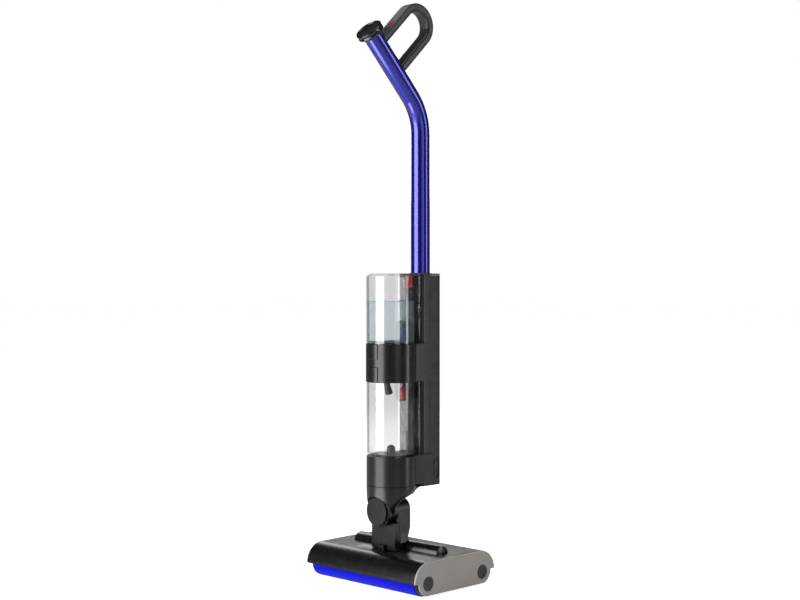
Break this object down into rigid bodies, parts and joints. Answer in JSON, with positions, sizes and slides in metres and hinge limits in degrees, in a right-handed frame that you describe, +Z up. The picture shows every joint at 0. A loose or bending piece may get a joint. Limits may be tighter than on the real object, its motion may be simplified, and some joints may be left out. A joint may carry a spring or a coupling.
{
  "type": "wet dry floor scrubber",
  "caption": "Upright cordless wet dry floor scrubber: wide floor head with microfibre rollers, hinged and swivelling neck, stacked clear tanks, blue bent tube, loop handle and display.",
  "frame": {"origin": "on the floor, under the middle of the floor head", "axes": "+Z up, -Y the front (the side that the handle leans towards), +X the end of the head with the grey cap"},
  "size_m": [0.3, 0.226, 1.145],
  "materials": {
    "charcoal_shell": "satin moulded plastic, near black",
    "warm_grey_cap": "satin moulded plastic, warm grey",
    "grip_grey": "soft satin plastic, dark grey",
    "blue_tube": "satin anodised royal blue",
    "blue_pile": "short dense microfibre pile",
    "core_plastic": "moulded plastic",
    "clear_tank": "clear moulded tank wall",
    "black_gloss": "gloss black lens",
    "signal_red": "gloss red plastic",
    "signal_blue": "gloss dark blue plastic",
    "teal": "satin teal plastic",
    "dark_rubber": "soft black rubber",
    "steel": "ground steel",
    "motor_can": "plated steel can",
    "bronze": "sintered bronze",
    "circuit_green": "solder mask",
    "filter_paper": "pleated filter paper",
    "cell_wrap": "shrink-wrapped battery pack"
  },
  "bodies": {
    "head": {"head_chassis": "charcoal_shell", "front_cover": "charcoal_shell", "rear_cover": "charcoal_shell", "left_end_plate": "charcoal_shell", "right_end_frame": "charcoal_shell", "right_end_cap": "warm_grey_cap", "roller_end_discs": "core_plastic", "suction_inlet": "core_plastic", "roller_scrapers": "dark_rubber", "water_bars": "core_plastic", "cover_latch": "charcoal_shell", "head_screws": "steel", "roller_motors": "motor_can", "roller_bearings": "steel", "hinge_pin": "steel"},
    "front_roller": {"front_roller_sleeve": "blue_pile", "front_roller_core": "core_plastic", "front_drive_hub": "core_plastic"},
    "rear_roller": {"rear_roller_sleeve": "blue_pile", "rear_roller_core": "core_plastic", "rear_drive_hub": "core_plastic"},
    "cover_button": {"cover_release_button": "signal_red"},
    "yoke": {"yoke": "charcoal_shell", "cross_bar": "charcoal_shell", "hinge_bushes": "bronze", "swivel_pin": "steel"},
    "upper_body": {"neck_housing": "charcoal_shell", "neck_cap": "charcoal_shell", "swivel_bush": "bronze", "base_housing": "charcoal_shell", "suction_motor": "motor_can", "spine_front_shell": "charcoal_shell", "spine_rear_shell": "charcoal_shell", "battery_cover": "charcoal_shell", "battery_pack": "cell_wrap", "control_board": "circuit_green", "suction_pipe": "core_plastic", "water_pump": "core_plastic", "handle_tube": "blue_tube", "handle_grip": "grip_grey", "handle_trim": "grip_grey", "display_housing": "charcoal_shell", "display_glass": "black_gloss"},
    "fan": {"suction_fan": "core_plastic"},
    "tank_button": {"tank_release_button": "signal_red"},
    "power_button": {"power_button": "signal_red"},
    "mode_button": {"mode_button": "teal"},
    "clean_tank_unit": {"clean_tank": "clear_tank", "clean_tank_base": "clear_tank", "tank_valve": "dark_rubber", "clean_float_guide": "clear_tank"},
    "clean_float": {"clean_float": "signal_blue"},
    "dirty_tank_unit": {"tank_collar": "charcoal_shell", "collar_lid": "charcoal_shell", "air_filter": "filter_paper", "dirty_tank": "clear_tank", "dirty_tank_knob": "core_plastic", "dirty_spout": "charcoal_shell", "dirty_float_guide": "clear_tank"},
    "dirty_float": {"dirty_float": "signal_red"}
  },
  "joints": [
    {"name": "front_roller_spin", "type": "hinge", "parent": "head", "child": "front_roller", "pos_m": [0, -0.076, 0.026], "axis": [1, 0, 0], "continuous": true},
    {"name": "rear_roller_spin", "type": "hinge", "parent": "head", "child": "rear_roller", "pos_m": [0, 0.076, 0.026], "axis": [1, 0, 0], "continuous": true},
    {"name": "body_recline", "type": "hinge", "parent": "head", "child": "yoke", "pos_m": [0, 0, 0.064], "axis": [-1, 0, 0], "range_deg": [0, 65]},
    {"name": "body_swivel", "type": "hinge", "parent": "yoke", "child": "upper_body", "pos_m": [0, -0.03, 0.1415], "axis": [0, 1, 0], "range_deg": [-30, 30]},
    {"name": "fan_spin", "type": "hinge", "parent": "upper_body", "child": "fan", "pos_m": [0, -0.025, 0.2], "axis": [0, 0, 1], "continuous": true},
    {"name": "clean_tank_removal", "type": "slide", "parent": "upper_body", "child": "clean_tank_unit", "axis": [0, -1, 0], "range_m": [0, 0.12]},
    {"name": "dirty_tank_removal", "type": "slide", "parent": "upper_body", "child": "dirty_tank_unit", "axis": [0, -1, 0], "range_m": [0, 0.12]},
    {"name": "clean_float_travel", "type": "slide", "parent": "clean_tank_unit", "child": "clean_float", "axis": [0, 0, 1], "range_m": [0, 0.007]},
    {"name": "dirty_float_travel", "type": "slide", "parent": "dirty_tank_unit", "child": "dirty_float", "axis": [0, 0, 1], "range_m": [0, 0.007]},
    {"name": "cover_button_press", "type": "slide", "parent": "head", "child": "cover_button", "axis": [0, 0, -1], "range_m": [0, 0.0012], "stiffness_N_per_m": 1200, "springref_m": -0.0005},
    {"name": "tank_button_press", "type": "slide", "parent": "upper_body", "child": "tank_button", "axis": [0, 1, 0], "range_m": [0, 0.0012], "stiffness_N_per_m": 1200, "springref_m": -0.0005},
    {"name": "power_button_press", "type": "slide", "parent": "upper_body", "child": "power_button", "axis": [0, 0.6947, -0.7193], "range_m": [0, 0.0012], "stiffness_N_per_m": 1200, "springref_m": -0.0005},
    {"name": "mode_button_press", "type": "slide", "parent": "upper_body", "child": "mode_button", "axis": [0, 0.6947, -0.7193], "range_m": [0, 0.0012], "stiffness_N_per_m": 1200, "springref_m": -0.0005}
  ]
}
